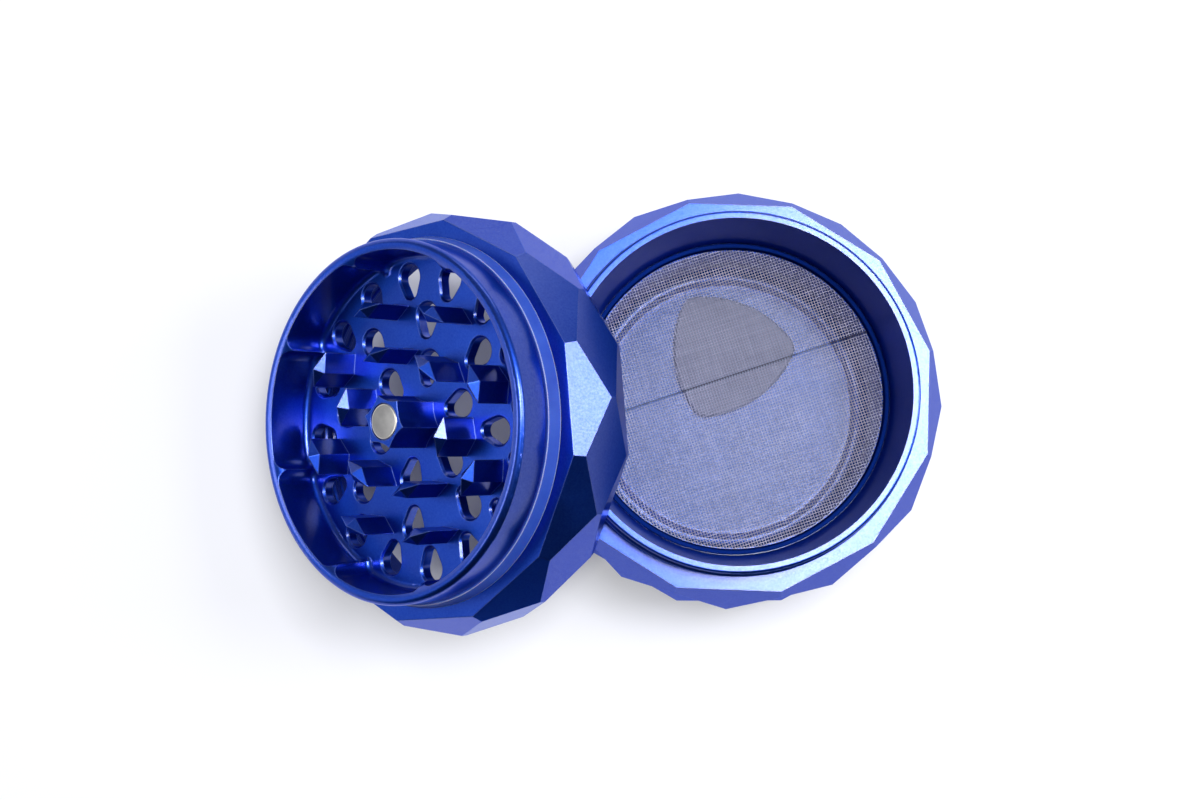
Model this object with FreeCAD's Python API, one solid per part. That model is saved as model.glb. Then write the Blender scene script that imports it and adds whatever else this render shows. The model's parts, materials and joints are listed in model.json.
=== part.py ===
import FreeCAD, Part
import math
import os

# Herb grinder with gem-cut sides, opened on a table: the grinding chamber leans on the
# screen chamber, which is screwed on the base bowl. Millimetres, +Z up, degrees for angles.
# The origin is on the table, on the axis of the base bowl.

# Screw necks; everything else on the turned pieces is measured from their radius
neck_radius = 26.2
chamber_neck_height = 7.3   # on the grinding chamber and on the screen chamber
base_neck_height = 6.0
neck_edge_round = 0.4

# Recesses that go over the necks; the threads fill the gap between the two
thread_gap = 0.7
mouth_chamfer = 0.4         # at the open edge of a recess
recess_clearance = 0.3      # above a neck that is fully screwed in
seat_gap = 0.05             # between a shoulder and what is screwed down on it

# Gem belt, the faceted outside that all three turned pieces share
facet_count = 12
shoulder_width = 2.35       # from the neck to the flat sides of the shoulder
bevel_width = 2.95          # how far the sloping facets stand out past the shoulder
bevel_height = 5.5          # each sloping row of facets, at a girdle corner
girdle_land = 1.0           # upright edge between the two rows, at a girdle corner

# Base bowl
base_floor = 2.0
base_wall = 3.5
base_floor_fillet = 1.6
floor_groove_inset = 0.65   # turned line near the edge of the flat floor
floor_groove_width = 0.9
floor_groove_depth = 0.3
base_belt_turn = -12.7      # where its thread leaves its facets, against the screen chamber's

# Scraper, a loose pick that lies on the base's floor
scraper_side = 15.0         # between the centres of its round corners
scraper_corner = 2.2
scraper_thickness = 1.2
scraper_edge_chamfer = 0.3
scraper_heading = 90.0      # from the axis to the pick
scraper_turn = 8.0
scraper_gap = 1.5           # from its farthest reach to the edge of the flat floor

# Screen chamber, its woven screen and the ring that holds the screen down
rim_wall = 1.1
mouth_taper = 1.6           # the mouth narrows by this much down to the screen's seat
screen_fit = 0.1            # round the screen and its ring, in their seat
screen_thickness = 0.3
screen_ledge_thickness = 0.8
screen_ledge_width = 1.1
screen_ring_height = 0.8
screen_ring_width = 0.85
screen_ring_chamfer = 0.25

# Grinding chamber, with its floor level with the shoulder
plate_thickness = 1.8
cup_wall = 1.6
cup_floor_fillet = 1.0
cusp_count = 8
cusp_depth = 1.2            # how far the points between the lobes lean in
cusp_fillet = 2.2           # wall arcs that lead in to each point
rim_lip = 0.8               # inner half of the rounded rim
rim_round = 0.8             # outer half of the rounded rim
pattern_turn = 11.6         # teeth and holes against the facets

# Grinding teeth: long across the radius, with roof-like points
tooth_length = 5.7
tooth_width = 2.5
tooth_point = 1.3
tooth_drop = 0.1            # from the level of the rim down to the points
outer_tooth_count = 8
inner_tooth_count = 6

# Drop-through holes: egg-shaped, with the narrow end towards the middle
hole_wide_radius = 1.95
hole_narrow_radius = 1.2
hole_stretch = 1.95         # between the centres of its two ends
hole_edge_break = 0.3
inner_hole_count = 6
middle_hole_count = 8
outer_hole_count = 16

# Rings that the teeth and holes stand on, as shares of the way from the post to the wall
inner_hole_share = 0.179
inner_tooth_share = 0.300
middle_hole_share = 0.513
outer_tooth_share = 0.632
outer_hole_share = 0.797

# Centre post, as high as the rim, and its magnet
post_count = 6              # ridges, with a flute between each two
post_radius = 3.95
flute_depth = 0.35
magnet_diameter = 5.3
magnet_thickness = 2.0
magnet_fit = 0.03

# Glide ring, a soft polymer washer round the neck of the grinding chamber
ring_height = 2.0
ring_top_wall = 0.55
ring_foot_wall = 1.05
ring_groove_depth = 0.3     # shallow seat that it snaps into, at the foot of the neck
ring_fit = 0.06

# How the grinding chamber leans: its edge on the table, its recess on the screen chamber's rim
rest_inset = 4.52           # from the top of its mouth down to where the rim holds it
lean_gap = 0.55             # left under the edge of its mouth, over the rim
heading = 7.34
spin = -0.81

UP = FreeCAD.Vector(0, 0, 1)
over = 1.0                  # how far a cutting tool passes the face that it cuts

facet_step = 360 / facet_count
belt_height = 2 * bevel_height + girdle_land
shoulder_apothem = neck_radius + shoulder_width
girdle_radius = shoulder_apothem + bevel_width
recess_radius = neck_radius + thread_gap
base_bowl_radius = neck_radius - base_wall
base_floor_radius = base_bowl_radius - base_floor_fillet
floor_groove_radius = base_floor_radius - floor_groove_inset
rim_inner_radius = neck_radius - rim_wall
screen_seat_radius = rim_inner_radius - mouth_taper
screen_radius = screen_seat_radius - screen_fit
screen_ledge_radius = screen_seat_radius - screen_ledge_width
screen_recess_depth = base_neck_height + recess_clearance
ledge_top = screen_recess_depth + screen_ledge_thickness
screen_ring_foot = ledge_top + screen_thickness
screen_ring_top = screen_ring_foot + screen_ring_height
cup_radius = neck_radius - cup_wall
cusp_radius = cup_radius - cusp_depth
groove_radius = neck_radius - ring_groove_depth
stack_height = 2 * belt_height + seat_gap


def polar(radius, angle, z=0.0):
    turn = math.radians(angle)
    return FreeCAD.Vector(radius * math.cos(turn), radius * math.sin(turn), z)


def facet_ring(corner_radius, first_angle, z):
    """Corners of a regular outline, one for each facet."""
    return [polar(corner_radius, first_angle + k * facet_step, z) for k in range(facet_count)]


def closed_wire(corners):
    return Part.makePolygon(corners + corners[:1])


def flat_faced(rings):
    """Solid with flat sides between outlines of as many corners; the last may be one point."""
    faces = [Part.Face(closed_wire(rings[0]))]
    for lower, upper in zip(rings, rings[1:]):
        for k in range(len(lower)):
            following = (k + 1) % len(lower)
            side = [lower[k], lower[following]]
            if len(upper) == 1:
                side += upper
            else:
                side += [upper[following], upper[k]]
            faces.append(Part.Face(closed_wire(side)))
    if len(rings[-1]) > 1:
        faces.append(Part.Face(closed_wire(rings[-1])))
    solid = Part.makeSolid(Part.makeShell(faces))
    if solid.Volume < 0:
        solid.reverse()
    return solid


def prism(wire, height):
    """Solid of a flat outline, pulled upwards."""
    return Part.Face(wire).extrude(UP * height)


def revolved(points):
    """Solid of revolution about Z of a profile given as (radius, height) points."""
    outline = [FreeCAD.Vector(r, 0, z) for r, z in points]
    face = Part.Face(Part.makePolygon(outline + outline[:1]))
    return face.revolve(FreeCAD.Vector(0, 0, 0), UP, 360)


def arc(first, middle, last):
    return Part.Arc(first, middle, last).toShape()


def line(first, last):
    return Part.makeLine(first, last)


def gem_belt():
    """Belt on z = 0: sloping kite facets above and below, upright facets between them."""
    slope = (girdle_radius - shoulder_apothem) / bevel_height
    waist_apothem = girdle_radius + slope * girdle_land / 2
    to_corner = math.cos(math.radians(facet_step / 2))
    rings = []
    for apothem, z in (
        (shoulder_apothem, 0.0),
        (waist_apothem, belt_height / 2),
        (shoulder_apothem, belt_height),
    ):
        rings.append(facet_ring(apothem / to_corner, facet_step / 2, z))
    upright = prism(closed_wire(facet_ring(girdle_radius, 0.0, 0.0)), belt_height)
    return flat_faced(rings).common(upright)


def neck(height, edge_round):
    """Round neck on top of a belt, with its outer edge rounded off."""
    foot = belt_height - over
    top = belt_height + height
    soft = edge_round * (1 - math.sqrt(0.5))
    axis_foot = FreeCAD.Vector(0, 0, foot)
    wall_foot = FreeCAD.Vector(neck_radius, 0, foot)
    wall_top = FreeCAD.Vector(neck_radius, 0, top - edge_round)
    shoulder = FreeCAD.Vector(neck_radius - soft, 0, top - soft)
    rim = FreeCAD.Vector(neck_radius - edge_round, 0, top)
    axis_top = FreeCAD.Vector(0, 0, top)
    edges = [
        line(axis_foot, wall_foot),
        line(wall_foot, wall_top),
        arc(wall_top, shoulder, rim),
        line(rim, axis_top),
        line(axis_top, axis_foot),
    ]
    return Part.Face(Part.Wire(edges)).revolve(FreeCAD.Vector(0, 0, 0), UP, 360)


def recess_profile(depth):
    """Left-out space under a belt, from its open mouth up to its ceiling."""
    wide = recess_radius + mouth_chamfer + over
    return [(0, -over), (wide, -over), (recess_radius, mouth_chamfer), (recess_radius, depth)]


def rounded_triangle(side, corner, first_angle, center, z):
    """Outline of a rounded triangle with bulging sides and a corner at first_angle."""
    tips = []
    for k in range(3):
        tips.append(center + polar(side / math.sqrt(3), first_angle + 120 * k, z))
    edges = []
    for k in range(3):
        tip = tips[k]
        across = tips[(k + 2) % 3]
        outward = first_angle + 120 * k
        edges.append(
            arc(
                tip + polar(corner, outward - 30),
                tip + polar(corner, outward),
                tip + polar(corner, outward + 30),
            )
        )
        edges.append(
            arc(
                across + polar(side + corner, outward + 30),
                across + polar(side + corner, outward + 60),
                across + polar(side + corner, outward + 90),
            )
        )
    return Part.Wire(edges)


def floor_groove():
    """Cutter for the line turned in the bowl's floor; its sides run on up past the floor."""
    reach = 1 + over
    half = reach * floor_groove_width / 2
    high = base_floor + over * floor_groove_depth
    return revolved(
        [
            (floor_groove_radius - half, high),
            (floor_groove_radius, base_floor - floor_groove_depth),
            (floor_groove_radius + half, high),
        ]
    )


def make_base_bowl():
    """Bowl that catches what falls through the screen; its floor runs up into the wall."""
    top = belt_height + base_neck_height
    solid = gem_belt().fuse(neck(base_neck_height, neck_edge_round))
    half = base_floor_fillet * math.sqrt(0.5)
    axis_floor = FreeCAD.Vector(0, 0, base_floor)
    floor_edge = FreeCAD.Vector(base_floor_radius, 0, base_floor)
    bend = FreeCAD.Vector(base_floor_radius + half, 0, base_floor + base_floor_fillet - half)
    wall_foot = FreeCAD.Vector(base_bowl_radius, 0, base_floor + base_floor_fillet)
    wall_top = FreeCAD.Vector(base_bowl_radius, 0, top + over)
    axis_top = FreeCAD.Vector(0, 0, top + over)
    edges = [
        line(axis_floor, floor_edge),
        arc(floor_edge, bend, wall_foot),
        line(wall_foot, wall_top),
        line(wall_top, axis_top),
        line(axis_top, axis_floor),
    ]
    hollow = Part.Face(Part.Wire(edges)).revolve(FreeCAD.Vector(0, 0, 0), UP, 360)
    bowl = solid.cut(hollow).cut(floor_groove())
    bowl.rotate(FreeCAD.Vector(0, 0, 0), UP, base_belt_turn)
    return bowl


def make_scraper():
    """Flat pick with its edges broken on both faces."""
    reach = scraper_side / math.sqrt(3) + scraper_corner
    center = polar(base_floor_radius - reach - scraper_gap, scraper_heading, base_floor)
    rings = []
    for inset, z in (
        (scraper_edge_chamfer, 0.0),
        (0.0, scraper_edge_chamfer),
        (0.0, scraper_thickness - scraper_edge_chamfer),
        (scraper_edge_chamfer, scraper_thickness),
    ):
        rings.append(rounded_triangle(scraper_side, scraper_corner - inset, scraper_turn, center, z))
    return Part.makeLoft(rings, True, True)


def on_base(shape):
    """Moves a piece of the screen chamber up on to the base's shoulder."""
    shape.translate(UP * (belt_height + seat_gap))
    return shape


def make_screen_chamber():
    """Belt and neck with a conical mouth, a seat for the screen and a recess for the base."""
    top = belt_height + chamber_neck_height
    solid = gem_belt().fuse(neck(chamber_neck_height, neck_edge_round))
    hollow = revolved(
        recess_profile(screen_recess_depth)
        + [
            (screen_ledge_radius, screen_recess_depth),
            (screen_ledge_radius, ledge_top),
            (screen_seat_radius, ledge_top),
            (screen_seat_radius, screen_ring_top),
            (rim_inner_radius, top),
            (rim_inner_radius, top + over),
            (0, top + over),
        ]
    )
    return on_base(solid.cut(hollow))


def make_mesh_screen():
    """Woven disc that lies on the ledge."""
    screen = Part.makeCylinder(screen_radius, screen_thickness)
    screen.translate(UP * ledge_top)
    return on_base(screen)


def make_screen_ring():
    """Pressed ring on top of the screen, with its inner edge broken."""
    inner = screen_radius - screen_ring_width
    ring = revolved(
        [
            (inner, screen_ring_foot),
            (screen_radius, screen_ring_foot),
            (screen_radius, screen_ring_top),
            (inner + screen_ring_chamfer, screen_ring_top),
            (inner, screen_ring_top - screen_ring_chamfer),
        ]
    )
    return on_base(ring)


def lobed_wire(z):
    """Outline of the cup: round lobes that meet in points leaning in to the middle."""
    inner = cup_radius - cusp_fillet
    across = (inner**2 + cusp_radius**2 - cusp_fillet**2) / (2 * inner * cusp_radius)
    lead = math.degrees(math.acos(across))
    step = 360 / cusp_count

    def swing(first, last, center):
        out = (first - center).normalize() + (last - center).normalize()
        return arc(first, center + out.normalize() * cusp_fillet, last)

    edges = []
    for k in range(cusp_count):
        point = pattern_turn + k * step
        following = point + step
        start = polar(cup_radius, point + lead, z)
        end = polar(cup_radius, following - lead, z)
        edges.append(swing(polar(cusp_radius, point, z), start, polar(inner, point + lead, z)))
        edges.append(arc(start, polar(cup_radius, point + step / 2, z), end))
        edges.append(swing(end, polar(cusp_radius, following, z), polar(inner, following - lead, z)))
    return Part.Wire(edges)


def make_tooth(ring, angle):
    """Post with a diamond section and four sloping faces on top."""
    center = polar(ring, angle)
    along = polar(tooth_length / 2, angle + 90)
    out = polar(tooth_width / 2, angle)
    diamond = [center + out, center + along, center - out, center - along]
    foot = UP * (belt_height - plate_thickness / 2)
    top = belt_height + chamber_neck_height - tooth_drop
    shoulder = UP * (top - tooth_point)
    tip = UP * top
    return flat_faced(
        [
            [corner + foot for corner in diamond],
            [corner + shoulder for corner in diamond],
            [center + tip],
        ]
    )


def egg_wire(center, angle, grow, z):
    """Outline of a drop-through hole, grown all round; angle points to its wide end."""
    wide = center + polar(hole_stretch / 2, angle, z)
    narrow = center - polar(hole_stretch / 2, angle, -z)
    lead = math.degrees(math.acos((hole_wide_radius - hole_narrow_radius) / hole_stretch))
    sides = (angle + 180 - lead, angle + 180 + lead)
    wide_ends = [wide + polar(hole_wide_radius + grow, side) for side in sides]
    narrow_ends = [narrow + polar(hole_narrow_radius + grow, side) for side in sides]
    return Part.Wire(
        [
            arc(wide_ends[1], wide + polar(hole_wide_radius + grow, angle), wide_ends[0]),
            line(wide_ends[0], narrow_ends[0]),
            arc(narrow_ends[0], narrow - polar(hole_narrow_radius + grow, angle), narrow_ends[1]),
            line(narrow_ends[1], wide_ends[1]),
        ]
    )


def make_hole(ring, angle):
    """Cutter for a drop-through hole with a broken top edge."""
    center = polar(ring, angle)
    foot = belt_height - plate_thickness - over
    shaft = egg_wire(center, angle, 0.0, foot)
    low_edge = egg_wire(center, angle, 0.0, belt_height - hole_edge_break)
    high_edge = egg_wire(center, angle, 2 * hole_edge_break, belt_height + hole_edge_break)
    edge_break = Part.makeLoft([low_edge, high_edge], True, True)
    return prism(shaft, plate_thickness + over).fuse(edge_break)


def make_post():
    """Fluted post in the middle of the cup."""
    step = 360 / post_count
    valley = post_radius * math.cos(math.radians(step / 2)) - flute_depth
    foot = belt_height - plate_thickness / 2
    edges = []
    for k in range(post_count):
        flute = pattern_turn + k * step
        edges.append(
            arc(
                polar(post_radius, flute - step / 2, foot),
                polar(valley, flute, foot),
                polar(post_radius, flute + step / 2, foot),
            )
        )
    return prism(Part.Wire(edges), chamber_neck_height + plate_thickness / 2)


def ring_pattern(make, count, share, offset):
    """Copies of one feature round the axis; offset is a share of the step."""
    ring = post_radius + share * (cup_radius - post_radius)
    step = 360 / count
    return [make(ring, pattern_turn + (k + offset) * step) for k in range(count)]


def rim_cutter(top):
    """Rounds the rim inwards and takes the tops of the wall's points down with it."""
    outer = cup_radius + rim_lip
    depth = outer - cusp_radius
    half = depth * math.sqrt(0.5)
    rim = FreeCAD.Vector(outer, 0, top)
    bend = FreeCAD.Vector(outer - half, 0, top - depth + half)
    point = FreeCAD.Vector(cusp_radius, 0, top - depth)
    axis_low = FreeCAD.Vector(0, 0, top - depth)
    axis_high = FreeCAD.Vector(0, 0, top + over)
    rim_high = FreeCAD.Vector(outer, 0, top + over)
    edges = [
        arc(rim, bend, point),
        line(point, axis_low),
        line(axis_low, axis_high),
        line(axis_high, rim_high),
        line(rim_high, rim),
    ]
    return Part.Face(Part.Wire(edges)).revolve(FreeCAD.Vector(0, 0, 0), UP, 360)


def make_grinding_chamber():
    """One milled piece: belt, neck, lobed cup with teeth, post and holes, and a recess below."""
    top = belt_height + chamber_neck_height
    solid = gem_belt().fuse(neck(chamber_neck_height, rim_round))
    cup = prism(lobed_wire(belt_height), chamber_neck_height + over)
    floor_edges = [edge for edge in cup.Edges if edge.BoundBox.ZMax < belt_height + over / 2]
    cup = cup.makeFillet(cup_floor_fillet, floor_edges)
    groove = revolved(
        [
            (groove_radius, belt_height),
            (neck_radius + over, belt_height),
            (neck_radius + over, belt_height + ring_height + 2 * ring_fit),
            (groove_radius, belt_height + ring_height + 2 * ring_fit),
        ]
    )
    recess_top = belt_height - plate_thickness
    recess = revolved(recess_profile(recess_top) + [(0, recess_top)])
    holes = ring_pattern(make_hole, inner_hole_count, inner_hole_share, 0.0)
    holes += ring_pattern(make_hole, middle_hole_count, middle_hole_share, 0.5)
    holes += ring_pattern(make_hole, outer_hole_count, outer_hole_share, 0.5)
    teeth = ring_pattern(make_tooth, outer_tooth_count, outer_tooth_share, 0.0)
    teeth += ring_pattern(make_tooth, inner_tooth_count, inner_tooth_share, 0.5)
    chamber = solid.cut(groove).cut(cup).cut(rim_cutter(top)).cut(recess)
    chamber = chamber.cut(Part.makeCompound(holes))
    chamber = chamber.fuse(teeth + [make_post()]).removeSplitter()
    pocket = Part.makeCylinder(magnet_diameter / 2 + magnet_fit, magnet_thickness + over)
    pocket.translate(UP * (top - magnet_thickness))
    return chamber.cut(pocket)


def make_magnet():
    """Disc set flush in the top of the post."""
    magnet = Part.makeCylinder(magnet_diameter / 2, magnet_thickness)
    magnet.translate(UP * (belt_height + chamber_neck_height - magnet_thickness))
    return magnet


def make_glide_ring():
    """Washer in its groove at the foot of the neck, free to turn."""
    bore = groove_radius + ring_fit
    foot = belt_height + ring_fit
    return revolved(
        [
            (bore, foot),
            (bore + ring_foot_wall, foot),
            (bore + ring_top_wall, foot + ring_height),
            (bore, foot + ring_height),
        ]
    )


def leaning_place():
    """Where the grinding chamber comes to rest, worked out from the pieces that carry it."""
    foot_radius = shoulder_apothem / math.cos(math.radians(facet_step / 2))
    foot_reach = 0.0
    for k in range(facet_count):
        corner = polar(foot_radius, (k + 0.5) * facet_step + spin)
        foot_reach = max(foot_reach, -corner.x)
    rest_reach = recess_radius - rest_inset
    rest_height = stack_height + chamber_neck_height + lean_gap
    lean = math.asin(rest_height / (foot_reach + rest_reach))
    rim_radius = neck_radius - neck_edge_round / 2
    across = math.sqrt(rim_radius**2 - recess_radius**2 + rest_reach**2)
    place = FreeCAD.Vector(-across - rest_reach * math.cos(lean), 0, foot_reach * math.sin(lean))
    turn = FreeCAD.Rotation(UP, heading)
    tilt = FreeCAD.Rotation(FreeCAD.Vector(0, 1, 0), -math.degrees(lean))
    pose = turn.multiply(tilt).multiply(FreeCAD.Rotation(UP, spin))
    return FreeCAD.Placement(turn.multVec(place), pose)


def leaning(shape):
    shape.Placement = leaning_place().multiply(shape.Placement)
    return shape


pieces = {
    "base_bowl": make_base_bowl(),
    "scraper": make_scraper(),
    "screen_chamber": make_screen_chamber(),
    "mesh_screen": make_mesh_screen(),
    "screen_retaining_ring": make_screen_ring(),
    "grinding_chamber": leaning(make_grinding_chamber()),
    "centre_magnet": leaning(make_magnet()),
    "glide_ring": leaning(make_glide_ring()),
}

os.makedirs("parts", exist_ok=True)
for name, shape in pieces.items():
    solid = shape.Solids[0]
    solid.exportStep("parts/" + name + ".step")
    box = solid.BoundBox
    print(
        name,
        "solids", len(shape.Solids),
        "valid", solid.isValid(),
        "volume", round(solid.Volume, 2),
        "x", round(box.XMin, 2), round(box.XMax, 2),
        "y", round(box.YMin, 2), round(box.YMax, 2),
        "z", round(box.ZMin, 2), round(box.ZMax, 2),
    )
print("leaning place", leaning_place())
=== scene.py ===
import json
import math

import bmesh
import bpy
from mathutils import Matrix, Vector


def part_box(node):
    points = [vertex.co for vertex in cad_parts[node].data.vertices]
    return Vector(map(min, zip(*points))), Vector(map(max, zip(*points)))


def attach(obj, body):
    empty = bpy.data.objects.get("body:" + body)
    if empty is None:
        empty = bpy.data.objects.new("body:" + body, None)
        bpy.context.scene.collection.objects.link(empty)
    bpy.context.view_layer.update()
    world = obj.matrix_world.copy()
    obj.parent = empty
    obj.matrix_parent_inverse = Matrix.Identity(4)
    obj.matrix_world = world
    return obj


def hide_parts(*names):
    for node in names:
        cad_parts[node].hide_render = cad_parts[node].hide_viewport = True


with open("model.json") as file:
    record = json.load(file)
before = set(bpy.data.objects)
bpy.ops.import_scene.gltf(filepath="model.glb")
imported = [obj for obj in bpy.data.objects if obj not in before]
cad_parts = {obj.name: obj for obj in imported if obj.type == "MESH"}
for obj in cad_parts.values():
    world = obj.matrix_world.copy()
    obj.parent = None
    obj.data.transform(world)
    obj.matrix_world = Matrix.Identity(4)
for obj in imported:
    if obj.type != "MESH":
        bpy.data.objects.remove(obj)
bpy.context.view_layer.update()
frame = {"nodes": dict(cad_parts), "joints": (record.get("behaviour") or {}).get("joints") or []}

# Base bowl, the bottom of the stack, which catches the fine powder.
# Turned and faceted from aluminium bar, bead-blasted to a satin and anodised blue.
# Its screw neck is hidden in the screen chamber that sits on its shoulder.
mm = 0.001


class Shade:
    """One socket of a material; sums and products of sockets add Math nodes."""

    def __init__(self, tree, socket=None):
        self.tree = tree
        self.socket = socket

    def node(self, kind, settings, values, output=0):
        """Adds a node, with its settings and the values or links of its sockets; gives one output."""
        made = self.tree.nodes.new(kind)
        for name, setting in settings.items():
            if name == "stops":
                stops = made.color_ramp.elements
                for end in (-1, 0):
                    stops[end].position, stops[end].color = setting[end]
                for position, color in setting[1:-1]:
                    stops.new(position).color = color
            else:
                setattr(made, name, setting)
        for name, value in values.items():
            if isinstance(value, Shade):
                self.tree.links.new(value.socket, made.inputs[name])
            else:
                made.inputs[name].default_value = value
        return Shade(self.tree, made.outputs[output] if made.outputs else None)

    def math(self, operation, *terms, clamp=False):
        settings = {"operation": operation, "use_clamp": clamp}
        return self.node("ShaderNodeMath", settings, dict(enumerate(terms)))

    def clamp(self):
        return self.math("ADD", self, 0.0, clamp=True)

    def __add__(self, other):
        return self.math("ADD", self, other)

    def __radd__(self, other):
        return self.math("ADD", other, self)

    def __sub__(self, other):
        return self.math("SUBTRACT", self, other)

    def __rsub__(self, other):
        return self.math("SUBTRACT", other, self)

    def __mul__(self, other):
        return self.math("MULTIPLY", self, other)

    def __rmul__(self, other):
        return self.math("MULTIPLY", other, self)


def new_material(name):
    """An empty material, and the start of its node expressions."""
    material = bpy.data.materials.new(name)
    material.use_nodes = True
    material.node_tree.nodes.clear()
    return material, Shade(material.node_tree)


def finish_material(start, surface):
    start.node("ShaderNodeOutputMaterial", {}, {"Surface": surface})


def principled(start, values):
    return start.node("ShaderNodeBsdfPrincipled", {}, values, "BSDF")


def mix_surfaces(start, share, first, second):
    return start.node("ShaderNodeMixShader", {}, {0: share, 1: first, 2: second})


def mix_colors(start, share, first, second):
    settings = {"data_type": "RGBA"}
    return start.node("ShaderNodeMix", settings, {0: share, 6: first, 7: second}, 2)


def vector_math(start, operation, output, *terms):
    settings = {"operation": operation}
    return start.node("ShaderNodeVectorMath", settings, dict(enumerate(terms)), output)


def noise(start, place, scale, detail):
    values = {"Vector": place, "Scale": scale, "Detail": detail}
    return start.node("ShaderNodeTexNoise", {}, values, "Fac")


def bump(start, strength, depth, height, normal=None):
    values = {"Strength": strength, "Distance": depth, "Height": height}
    if normal is not None:
        values["Normal"] = normal
    return start.node("ShaderNodeBump", {}, values, "Normal")


def object_place(start):
    return start.node("ShaderNodeTexCoord", {}, {}, "Object")


def soft_edges(start, radius):
    """Normal with rounded edges, and how much of an edge each point is, from 0 to 1."""
    edge_gain = 5.0
    rounded = start.node("ShaderNodeBevel", {"samples": 6}, {"Radius": radius}, "Normal")
    flat = start.node("ShaderNodeNewGeometry", {}, {}, "Normal")
    same = vector_math(start, "DOT_PRODUCT", "Value", rounded, flat)
    return rounded, ((1.0 - same) * edge_gain).clamp()


noise_mean = 0.5


def anodised_surface(start, deep, pale, worn_and_highlight, roughness, coat, blasting):
    """Aluminium under a dyed oxide layer, bead-blasted more or less, paler along its edges: partly wear
    and partly painted highlight.
    """
    blast_scale = 5200.0
    blast_depth = 0.02 * mm
    blast_strength = 0.26 * blasting
    speckle_scale = 3400.0
    cloud_scale = 140.0
    worn_and_highlight_width = 0.26 * mm
    worn_and_highlight_share = 0.5
    cloud_paling = 0.20
    speckle_paling = 0.35 * blasting
    edge_paling = 0.30
    cloud_roughness = 0.10
    blast_roughness = 0.10 * blasting
    least_coat = 0.45
    coat_swing = 1.1
    place = object_place(start)
    blast = noise(start, place, blast_scale, detail=2.0)
    speckle = noise(start, place, speckle_scale, detail=1.0)
    cloud = noise(start, place, cloud_scale, detail=3.0)
    rounded, edge = soft_edges(start, worn_and_highlight_width)
    # The edges are paler: partly wear and partly painted highlight.
    pale_share = cloud * cloud_paling + (speckle - noise_mean) * speckle_paling + edge * edge_paling
    dyed = mix_colors(start, pale_share.clamp(), deep, pale)
    uneven = (cloud - noise_mean) * cloud_roughness + (blast - noise_mean) * blast_roughness
    values = {
        "Base Color": mix_colors(start, edge * worn_and_highlight_share, dyed, worn_and_highlight),
        "Metallic": 1.0,
        "Roughness": roughness + uneven,
        "Normal": bump(start, blast_strength, blast_depth, blast, rounded),
        "Specular Tint": (0.25, 0.45, 1.0, 1.0),
        "Coat Weight": (least_coat + speckle * coat_swing) * coat if coat else 0.0,
        "Coat Roughness": 0.17,
        "Coat IOR": 1.65,
    }
    return principled(start, values)


fully_blasted = 1.0


def anodised(name, deep, pale, worn_and_highlight, roughness, coat):
    material, start = new_material(name)
    finish_material(start, anodised_surface(start, deep, pale, worn_and_highlight, roughness, coat, fully_blasted))
    return material


def finish_node(name, material):
    """Gives a CAD node its finish."""
    slots = frame["nodes"][name].data.materials
    slots.clear()
    slots.append(material)


blue_deep = (0.004, 0.043, 0.40, 1.0)
blue_pale = (0.036, 0.145, 0.72, 1.0)
blue_worn_and_highlight = (0.26, 0.36, 0.85, 1.0)
blue_roughness = 0.38
blue_coat = 0.58
blue_aluminium = anodised("blue_aluminium", blue_deep, blue_pale, blue_worn_and_highlight, blue_roughness, blue_coat)

# The bowl's floor is turned and hardly blasted. A ring near its wall is painted paler and glossier: a
# painted highlight where the floor curves up into the wall.
floor_top = 3.0 * mm
underside_top = 0.5 * mm
bowl_radius = 22.6 * mm
floor_roughness = 0.45
floor_blasting = 0.15
floor_deep = (0.008, 0.052, 0.24, 1.0)
floor_pale = (0.016, 0.070, 0.29, 1.0)
floor_coat = 0.36
highlight_ring_radius = 20.45 * mm
highlight_ring_width = 0.6 * mm
highlight_ring_deep = (0.026, 0.085, 0.40, 1.0)
highlight_ring_pale = (0.045, 0.120, 0.50, 1.0)
highlight_ring_coat = 0.7
base_aluminium, start = new_material("base_aluminium")
place = object_place(start)
height = start.node("ShaderNodeSeparateXYZ", {}, {"Vector": place}, "Z")
flat_place = vector_math(start, "MULTIPLY", "Vector", place, (1, 1, 0))
from_axis = vector_math(start, "LENGTH", "Value", flat_place)
below_top = start.math("LESS_THAN", height, floor_top)
above_underside = start.math("GREATER_THAN", height, underside_top)
in_floor = below_top * above_underside * start.math("LESS_THAN", from_axis, bowl_radius)
off_highlight_ring = start.math("ABSOLUTE", from_axis - highlight_ring_radius)
# The painted highlight ring is full up to one width from its middle, and gone at two.
on_highlight_ring = (2.0 - off_highlight_ring * (1.0 / highlight_ring_width)).clamp()
wall_surface = anodised_surface(
    start, blue_deep, blue_pale, blue_worn_and_highlight, blue_roughness, blue_coat, fully_blasted
)
floor_surface = anodised_surface(
    start, floor_deep, floor_pale, floor_pale, floor_roughness, floor_coat, floor_blasting
)
highlight_ring_surface = anodised_surface(
    start, highlight_ring_deep, highlight_ring_pale, highlight_ring_pale, floor_roughness, highlight_ring_coat, floor_blasting
)
# The floor takes the painted highlight ring near its wall.
floor_with_highlight_ring = mix_surfaces(start, on_highlight_ring, floor_surface, highlight_ring_surface)
finish_material(start, mix_surfaces(start, in_floor, wall_surface, floor_with_highlight_ring))
finish_node("base_bowl", base_aluminium)

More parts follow.
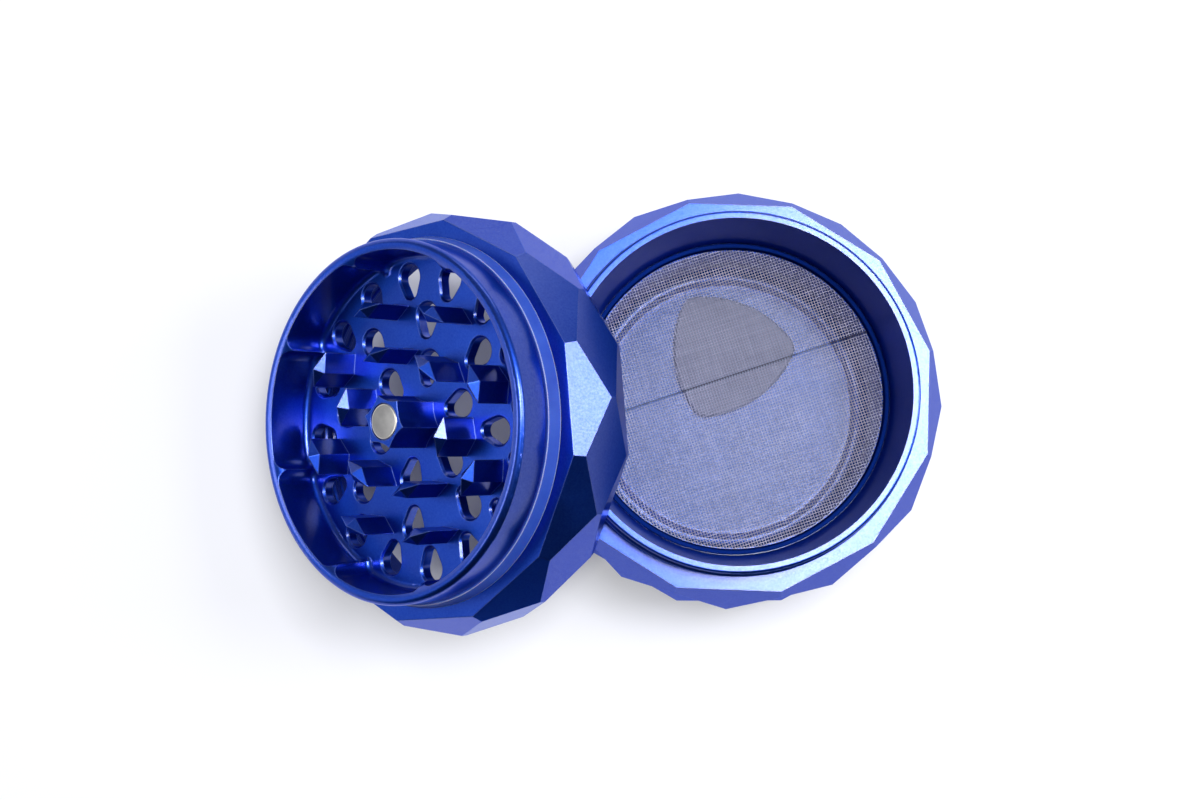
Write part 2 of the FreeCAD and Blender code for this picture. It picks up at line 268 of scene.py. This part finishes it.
# Scraper, a flat pick for the powder that clings to the bowl.
# Moulded from grey plastic, it lies loose on the bowl's floor under the screen.
# Its faces are satin, with a fine moulded grain.
scraper_dark = (0.22, 0.26, 0.40, 1.0)
scraper_light = (0.32, 0.37, 0.55, 1.0)
scraper_roughness = 0.38
scraper_edge = 0.2 * mm
edge_lightening = 0.4
moulding_scale = 900.0
moulding_depth = 0.03 * mm
moulding_strength = 0.3
moulding_lightening = 0.6
moulding_roughness = 0.15
scraper_plastic, start = new_material("scraper_plastic")
moulding = noise(start, object_place(start), moulding_scale, detail=4.0)
rounded, edge = soft_edges(start, scraper_edge)
light_share = (moulding * moulding_lightening + edge * edge_lightening).clamp()
surface = principled(
    start,
    {
        "Base Color": mix_colors(start, light_share, scraper_dark, scraper_light),
        "Roughness": scraper_roughness + moulding * moulding_roughness,
        "Normal": bump(start, moulding_strength, moulding_depth, moulding, rounded),
    },
)
finish_material(start, surface)
finish_node("scraper", scraper_plastic)

# Screen chamber, screwed down on the base bowl: the same gem-cut aluminium, with a conical
# mouth that leads down to the screen. The screw thread on its neck is cut in the lathe.
# Its crests are flat and it runs out at both ends.
finish_node("screen_chamber", blue_aluminium)


def make_object(name, builder, material):
    """Turns a finished bmesh into an object of one material."""
    mesh = bpy.data.meshes.new(name)
    builder.to_mesh(mesh)
    builder.free()
    mesh.materials.append(material)
    made = bpy.data.objects.new(name, mesh)
    bpy.context.scene.collection.objects.link(made)
    return made


def add_piece(name, builder, material, body):
    """Merges a bmesh's doubles, points its faces outwards and sets it on its body."""
    weld_gap = 0.0001 * mm
    bmesh.ops.remove_doubles(builder, verts=builder.verts, dist=weld_gap)
    bmesh.ops.recalc_face_normals(builder, faces=builder.faces)
    piece = make_object(name, builder, material)
    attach(piece, body)
    return piece


def shade_smooth(piece, sharp_angle):
    piece.data.shade_smooth()
    piece.data.set_sharp_from_angle(angle=math.radians(sharp_angle))


def made_of(kind, geometry):
    """The vertices or the edges among what an operator gives back."""
    return [item for item in geometry if isinstance(item, kind)]


def first_loop(builder, corners):
    """Joins four new corners into the closed loop that a sweep starts from."""
    return [builder.edges.new((corners[k], corners[(k + 1) % 4])) for k in range(4)]


def close_ends(builder):
    open_edges = [edge for edge in builder.edges if edge.is_boundary]
    bmesh.ops.holes_fill(builder, edges=open_edges, sides=4)


def screw_ridge(root_radius, crest_radius, first_height):
    """Thread ridge about Z, swept step by step; it runs down to a low step at its two ends."""
    pitch = 1.7 * mm
    turns = 2
    root_width = 1.25 * mm
    crest_width = 0.45 * mm
    steps_per_turn = 96
    fade_steps = 20
    lowest = 0.2
    count = steps_per_turn * turns
    turn = 2 * math.pi / steps_per_turn
    profile = []
    for width, on_crest in ((-root_width, 0), (-crest_width, 1), (crest_width, 1), (root_width, 0)):
        profile.append((width / 2, on_crest))
    ridge = bmesh.new()
    row = []
    for along, on_crest in profile:
        radius = root_radius + on_crest * lowest * (crest_radius - root_radius)
        row.append(ridge.verts.new((radius, 0, first_height + along)))
    edges = first_loop(ridge, row)
    for step in range(1, count + 1):
        swept = bmesh.ops.extrude_edge_only(ridge, edges=edges)["geom"]
        edges = made_of(bmesh.types.BMEdge, swept)
        row = made_of(bmesh.types.BMVert, swept)
        row.sort(key=lambda corner: corner.co.z)
        fade = max(lowest, min(1.0, step / fade_steps, (count - step) / fade_steps))
        middle = first_height + pitch * step / steps_per_turn
        for corner, (along, on_crest) in zip(row, profile):
            radius = root_radius + on_crest * fade * (crest_radius - root_radius)
            corner.co = (radius * math.cos(step * turn), radius * math.sin(step * turn), middle + along)
    close_ends(ridge)
    return ridge


thread_root_sink = 0.05 * mm
thread_sharp_angle = 40
neck_radius = 26.2 * mm
neck_crest_radius = 26.62 * mm
neck_thread_foot = 26.0 * mm
neck_ridge = screw_ridge(neck_radius - thread_root_sink, neck_crest_radius, neck_thread_foot)
neck_thread = add_piece("neck_thread", neck_ridge, blue_aluminium, "screen_chamber")
shade_smooth(neck_thread, thread_sharp_angle)

# Woven screen, about sixty wires to the inch of thin stainless steel.
# Each wire goes over and under the ones that cross it; the cloth is cut round and laid on
# the chamber's ledge. Warp and weft are two pieces, one for each direction of wire.
screen_low, screen_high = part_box("mesh_screen")
screen_middle = (screen_low.z + screen_high.z) / 2
screen_radius = screen_high.x
wire_pitch = 0.42 * mm
wire_radius = 0.070 * mm
wire_wave = 0.070 * mm
weave_turn = math.radians(20.3)
wire_dark = (0.06, 0.06, 0.10, 1.0)
wire_bright = (0.43, 0.43, 0.60, 1.0)
wire_roughness = 0.30
along_wires = 90.0
across_wires = 2400.0
streak_share = 0.6
tarnish_scale = 110.0
tarnish_share = 0.6
tarnish_roughness = 0.2
# Painted shade: the wires are painted darker along one straight lane across the weave.
painted_shade_lane = 3.27 * mm
painted_shade_lane_width = 0.26 * mm
painted_shade_darkening = 1.2
wire_steel, start = new_material("steel_mesh")
place = object_place(start)
turned_back = {"Vector": place, "Rotation": (0, 0, -weave_turn)}
weave_place = start.node("ShaderNodeMapping", {"vector_type": "POINT"}, turned_back, "Vector")
lanes = start.node("ShaderNodeSeparateXYZ", {}, {"Vector": weave_place}, "Y")
streaks = []
for stretch in ((along_wires, across_wires, 0.0), (across_wires, along_wires, 0.0)):
    drawn_out = vector_math(start, "MULTIPLY", "Vector", weave_place, stretch)
    streaks.append(noise(start, drawn_out, scale=1.0, detail=2.0))
tarnish = noise(start, place, tarnish_scale, detail=3.0)
# Mask of the painted shade lane.
off_shade_lane = start.math("ABSOLUTE", lanes - painted_shade_lane)
on_shade_lane = (1.0 - off_shade_lane * (1.0 / painted_shade_lane_width)).clamp()
streaked = streaks[0] * streak_share + streaks[1] * streak_share
bright_share = streaked + (tarnish - noise_mean) * tarnish_share - on_shade_lane * painted_shade_darkening
surface = principled(
    start,
    {
        "Base Color": mix_colors(start, bright_share.clamp(), wire_dark, wire_bright),
        "Metallic": 1.0,
        "Roughness": wire_roughness + tarnish * tarnish_roughness,
    },
)
finish_material(start, surface)


def whole(builder):
    return builder.verts[:] + builder.edges[:] + builder.faces[:]


def lay_copy(builder, shift):
    """Copies all of a bmesh and moves the copy."""
    copied = bmesh.ops.duplicate(builder, geom=whole(builder))["geom"]
    bmesh.ops.translate(builder, verts=made_of(bmesh.types.BMVert, copied), vec=shift)


def woven_wires(phase):
    """Wires along X, one pitch apart; phase says which crossings the first wire goes over."""
    half_count = math.ceil(screen_radius / wire_pitch)
    weave = bmesh.new()
    row = []
    for side in range(4):
        angle = side * math.pi / 2
        row.append(weave.verts.new((0, wire_radius * math.cos(angle), wire_radius * math.sin(angle))))
    edges = first_loop(weave, row)
    bmesh.ops.translate(weave, verts=row, vec=(-half_count * wire_pitch, 0, wire_wave * (1 - 2 * phase)))
    for step in range(1, 2 * half_count + 1):
        swept = bmesh.ops.extrude_edge_only(weave, edges=edges)["geom"]
        edges = made_of(bmesh.types.BMEdge, swept)
        swing = 2 * wire_wave if (step + phase) % 2 == 0 else -2 * wire_wave
        bmesh.ops.translate(weave, verts=made_of(bmesh.types.BMVert, swept), vec=(wire_pitch, 0, swing))
    lay_copy(weave, (wire_pitch, wire_pitch, 0))
    rows_made = 2
    while rows_made < 2 * half_count + 1:
        lay_copy(weave, (0, rows_made * wire_pitch, 0))
        rows_made *= 2
    bmesh.ops.translate(weave, verts=weave.verts, vec=(0, -half_count * wire_pitch, 0))
    reach = screen_radius - wire_pitch / 2
    outside = []
    for corner in weave.verts:
        lane = round(corner.co.y / wire_pitch) * wire_pitch
        if math.hypot(corner.co.x, lane) > reach:
            outside.append(corner)
    bmesh.ops.delete(weave, geom=outside, context="VERTS")
    close_ends(weave)
    return weave


for wire_set, phase, quarter in (("screen_warp", 0, 0.0), ("screen_weft", 1, math.pi / 2)):
    wires = woven_wires(phase)
    lay = Matrix.Translation((0, 0, screen_middle)) @ Matrix.Rotation(weave_turn + quarter, 4, "Z")
    bmesh.ops.transform(wires, matrix=lay, verts=wires.verts)
    wire_piece = add_piece(wire_set, wires, wire_steel, "screen_chamber")
    wire_piece.data.shade_smooth()
    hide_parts("mesh_screen")

# Retaining ring, pressed into the mouth on top of the screen so that it can't lift.
# Rolled from thin aluminium strip and anodised blue; it is much darker than the body, partly its own
# anodising and partly painted shade that sinks it into the dark mouth.
# Painted shade: the ring's colours are darkened to blend into the shaded mouth.
ring_deep_shaded = (0.001, 0.008, 0.075, 1.0)
ring_pale_shaded = (0.004, 0.016, 0.110, 1.0)
ring_roughness = 0.55
no_coat = 0.0
ring_aluminium = anodised("ring_aluminium", ring_deep_shaded, ring_pale_shaded, ring_pale_shaded, ring_roughness, no_coat)
finish_node("screen_retaining_ring", ring_aluminium)

# Grinding chamber, milled from one blank: lobed cup, drop-through holes, teeth and the fluted
# post in the middle. It leans with its edge on the table and its recess over the rim.
# Inside that recess is the thread that takes the screen chamber's neck.
finish_node("grinding_chamber", blue_aluminium)
turn_joint = next(joint for joint in frame["joints"] if joint["name"] == "glide_ring_turn")
joint_height = 13.0 * mm
chamber_axis = Vector(turn_joint["axis"]).normalized()
chamber_foot = Vector(turn_joint["pos_m"]) - joint_height * chamber_axis
chamber_turn = Vector((0, 0, 1)).rotation_difference(chamber_axis).to_matrix().to_4x4()
chamber_place = Matrix.Translation(chamber_foot) @ chamber_turn
recess_radius = 26.9 * mm
recess_crest_radius = 26.55 * mm
recess_thread_foot = 3.2 * mm
recess_ridge = screw_ridge(recess_radius + thread_root_sink, recess_crest_radius, recess_thread_foot)
bmesh.ops.transform(recess_ridge, matrix=chamber_place, verts=recess_ridge.verts)
recess_thread = add_piece(
    "recess_thread", recess_ridge, blue_aluminium, "grinding_chamber"
)
shade_smooth(recess_thread, thread_sharp_angle)

# Magnet that holds the lid shut, a nickel-plated disc pressed into the top of the post.
# Its edge is rounded and bright, partly polish and partly a painted highlight, and fine turning marks
# show on its duller face.
magnet_radius = 2.65 * mm
magnet_foot = 17.3 * mm
magnet_height = 2.0 * mm
magnet_round = 0.35 * mm
magnet_sharp_angle = 50
magnet_top = chamber_place @ Vector((0, 0, magnet_foot + magnet_height))
plating_dark = (0.20, 0.20, 0.205, 1.0)
plating_bright = (0.40, 0.395, 0.39, 1.0)
plating_polished_and_highlight = (0.88, 0.84, 0.76, 1.0)
plating_roughness = 0.32
polish_and_highlight_fade = 0.10 * mm
polished_smoothing = 0.12
mark_pitch = 0.22 * mm
mark_share = 0.25
haze_scale = 700.0
haze_roughness = 0.2
pit_scale = 3800.0
pit_depth = 0.02 * mm
pit_strength = 0.25
plating, start = new_material("magnet_plating")
place = object_place(start)
haze = noise(start, place, haze_scale, detail=4.0)
pits = noise(start, place, pit_scale, detail=2.0)
from_middle = vector_math(start, "DISTANCE", "Value", place, magnet_top)
turning = start.math("SINE", from_middle * (2 * math.pi / mark_pitch))
on_edge = ((from_middle - (magnet_radius - magnet_round)) * (1.0 / polish_and_highlight_fade)).clamp()
duller = mix_colors(start, haze, plating_dark, plating_bright)
# The rim is painted bright: partly polish and partly painted highlight.
surface = principled(
    start,
    {
        "Base Color": mix_colors(start, on_edge, duller, plating_polished_and_highlight),
        "Metallic": 1.0,
        "Roughness": plating_roughness + haze * haze_roughness - on_edge * polished_smoothing,
        "Normal": bump(start, pit_strength, pit_depth, pits + turning * mark_share),
    },
)
finish_material(start, surface)
magnet = bmesh.new()
bmesh.ops.create_cone(
    magnet,
    cap_ends=True,
    segments=64,
    radius1=magnet_radius,
    radius2=magnet_radius,
    depth=magnet_height,
    matrix=chamber_place @ Matrix.Translation((0, 0, magnet_foot + magnet_height / 2)),
)
top_slack = 0.01 * mm
top_edges = []
for edge in magnet.edges:
    heights = [chamber_axis.dot(corner.co - magnet_top) for corner in edge.verts]
    if min(heights) > -top_slack:
        top_edges.append(edge)
bmesh.ops.bevel(
    magnet, geom=top_edges, offset=magnet_round, affect="EDGES", segments=4, profile=0.5, material=-1
)
magnet_piece = add_piece("magnet_disc", magnet, plating, "grinding_chamber")
shade_smooth(magnet_piece, magnet_sharp_angle)
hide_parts("centre_magnet")

# Glide ring, a soft washer that the lid turns on, paler along its edges: partly wear and partly a
# painted highlight.
# Moulded from blue polymer, it snaps into a groove at the foot of the chamber's neck.
# Light soaks a little way into it, and its faces are satin.
polymer_deep = (0.010, 0.040, 0.32, 1.0)
polymer_pale = (0.040, 0.100, 0.48, 1.0)
polymer_worn_and_highlight = (0.70, 0.76, 0.95, 1.0)
polymer_roughness = 0.45
polymer_edge = 0.30 * mm
polymer_worn_and_highlight_share = 0.8
clouding_scale = 260.0
scuff_scale = 2600.0
scuff_depth = 0.02 * mm
scuff_strength = 0.2
scuff_roughness = 0.15
glide_polymer, start = new_material("glide_polymer")
place = object_place(start)
clouding = noise(start, place, clouding_scale, detail=3.0)
scuffs = noise(start, place, scuff_scale, detail=3.0)
rounded, edge = soft_edges(start, polymer_edge)
clouded = mix_colors(start, clouding, polymer_deep, polymer_pale)
# The edges are painted near white: partly wear and partly painted highlight.
surface = principled(
    start,
    {
        "Base Color": mix_colors(start, edge * polymer_worn_and_highlight_share, clouded, polymer_worn_and_highlight),
        "Roughness": polymer_roughness + scuffs * scuff_roughness,
        "Specular IOR Level": 0.25,
        "Normal": bump(start, scuff_strength, scuff_depth, scuffs, rounded),
        "Subsurface Weight": 0.3,
        "Subsurface Scale": 0.6 * mm,
    },
)
finish_material(start, surface)
finish_node("glide_ring", glide_polymer)


# Table, a plain board that fills the view, a bluish white that stands in for blue light bounced from the
# grinder into its shadow.
# It takes the object's shadow; its glow is cut to almost nothing just under the leaning chamber, a
# painted shadow seen through the holes, and it is evenly white farther off.
def ray_is(start, kind):
    """1 where the light path is of this kind, and 0 elsewhere."""
    return start.node("ShaderNodeLightPath", {}, {}, f"Is {kind} Ray")


table_size = 8.0
table_white_and_bounce = (0.82, 0.84, 0.94, 1.0)
pure_white = (1.0, 1.0, 1.0, 1.0)
# The point under the leaning chamber, where the glow is cut: painted shadow.
painted_shadow_middle = (-43.0 * mm, -4.0 * mm, 0.0)
far_reach = 0.70
glow_and_shadow_stops = []
# Glow share by distance from there: almost none just under the chamber as painted shadow, evenly white
# far off.
for reach, glow in ((0.024, 0.05), (0.033, 0.45), (0.220, 0.50), (far_reach, 0.97)):
    glow_and_shadow_stops.append((reach / far_reach, (glow, glow, glow, 1.0)))
table_paint, start = new_material("table_white_and_bounce")
seen = ray_is(start, "Camera") + ray_is(start, "Glossy") + ray_is(start, "Transmission")
from_painted_shadow = vector_math(start, "DISTANCE", "Value", object_place(start), painted_shadow_middle)
glow_and_shadow_ramp = start.node(
    "ShaderNodeValToRGB", {"stops": glow_and_shadow_stops}, {0: from_painted_shadow * (1.0 / far_reach)}, "Color"
)
board = start.node("ShaderNodeBsdfDiffuse", {}, {"Color": table_white_and_bounce}, "BSDF")
shine = start.node("ShaderNodeEmission", {}, {"Color": pure_white, "Strength": 1.0}, "Emission")
finish_material(start, mix_surfaces(start, seen.clamp() * glow_and_shadow_ramp, board, shine))
table = bmesh.new()
bmesh.ops.create_grid(table, x_segments=1, y_segments=1, size=table_size / 2)
make_object("table", table, table_paint)


# Studio light: a softbox overhead, a key softbox on the right, and weaker ones behind and on
# the left. Each hangs outside the view and is aimed at the object.
def softbox(name, place, aim, width, height, radiance):
    lamp = bpy.data.lights.new(name, "AREA")
    lamp.shape = "RECTANGLE"
    lamp.size = width
    lamp.size_y = height
    lamp.energy = radiance * math.pi * width * height
    holder = bpy.data.objects.new(name, lamp)
    holder.location = place
    holder.rotation_mode = "QUATERNION"
    holder.rotation_quaternion = (Vector(aim) - Vector(place)).to_track_quat("-Z", "Y")
    holder.visible_camera = False
    bpy.context.scene.collection.objects.link(holder)


softbox(
    "overhead_softbox",
    place=(0.10, 0.07, 0.60),
    aim=(0.02, 0.0, 0.0),
    width=0.19,
    height=0.25,
    radiance=23.0,
)
softbox(
    "right_softbox",
    place=(0.52, 0.10, 0.50),
    aim=(0.0, 0.0, 0.02),
    width=0.24,
    height=0.28,
    radiance=12.5,
)
softbox(
    "back_softbox",
    place=(-0.05, 0.60, 0.25),
    aim=(-0.02, 0.0, 0.02),
    width=0.50,
    height=0.20,
    radiance=2.0,
)
softbox(
    "left_softbox",
    place=(-0.55, -0.05, 0.30),
    aim=(-0.04, 0.0, 0.02),
    width=0.30,
    height=0.24,
    radiance=4.0,
)

# Flag, a black card that stands in front so that the facets on that side stay deep.
# It shows only in reflections.
unit_side = 1.0
flag_width = 0.6
flag_height = 0.22
flag_middle = (0.0, -0.12, 0.11)
felt_black = (0.01, 0.01, 0.01, 1.0)
flag_felt, start = new_material("flag_black")
finish_material(start, start.node("ShaderNodeBsdfDiffuse", {}, {"Color": felt_black}, "BSDF"))
flag = bmesh.new()
bmesh.ops.create_grid(flag, x_segments=1, y_segments=1, size=unit_side / 2)
upright = Matrix.Translation(flag_middle) @ Matrix.Rotation(math.pi / 2, 4, "X")
flag_lay = upright @ Matrix.Diagonal((flag_width, flag_height, 1.0, 1.0))
bmesh.ops.transform(flag, matrix=flag_lay, verts=flag.verts)
front_flag = make_object("front_flag", flag, flag_felt)
front_flag.visible_camera = False
front_flag.visible_shadow = False
front_flag.visible_diffuse = False

# Room, an even white backdrop behind the table that gives little light of its own.
# Metal shows it dimmer than the camera does.
room_light = 0.06
backdrop_light = 0.95
backdrop_in_metal = 0.12
world = bpy.data.worlds.new("studio")
bpy.context.scene.world = world
world.use_nodes = True
world.node_tree.nodes.clear()
start = Shade(world.node_tree)
seen_plainly = ray_is(start, "Camera") + ray_is(start, "Transmission")
seen_in_metal = ray_is(start, "Glossy")
strength = room_light + seen_plainly * (backdrop_light - room_light) + seen_in_metal * backdrop_in_metal
backdrop = {"Color": pure_white, "Strength": strength}
room = start.node("ShaderNodeBackground", {}, backdrop, "Background")
start.node("ShaderNodeOutputWorld", {}, {"Surface": room})

# Camera, nearly overhead, on the photo's frame of 1200 by 800.
# Its place, turn and lens are those that fit the photo.
camera_place = Vector((-16.648, -25.696, 276.48)) * mm
camera_right = Vector((0.99927, 0.03711, -0.00906))
camera_up = Vector((-0.03607, 0.99471, 0.0961))
camera_data = bpy.data.cameras.new("camera")
camera_data.sensor_width = 36.0
camera_data.lens = 51.55
camera_data.clip_start = 0.01
camera = bpy.data.objects.new("camera", camera_data)
camera_axes = Matrix((camera_right, camera_up, camera_right.cross(camera_up))).transposed()
camera.matrix_world = Matrix.Translation(camera_place) @ camera_axes.to_4x4()
bpy.context.scene.collection.objects.link(camera)
bpy.context.scene.camera = camera

bpy.context.scene.view_settings.view_transform = "Standard"

bpy.context.view_layer.update()
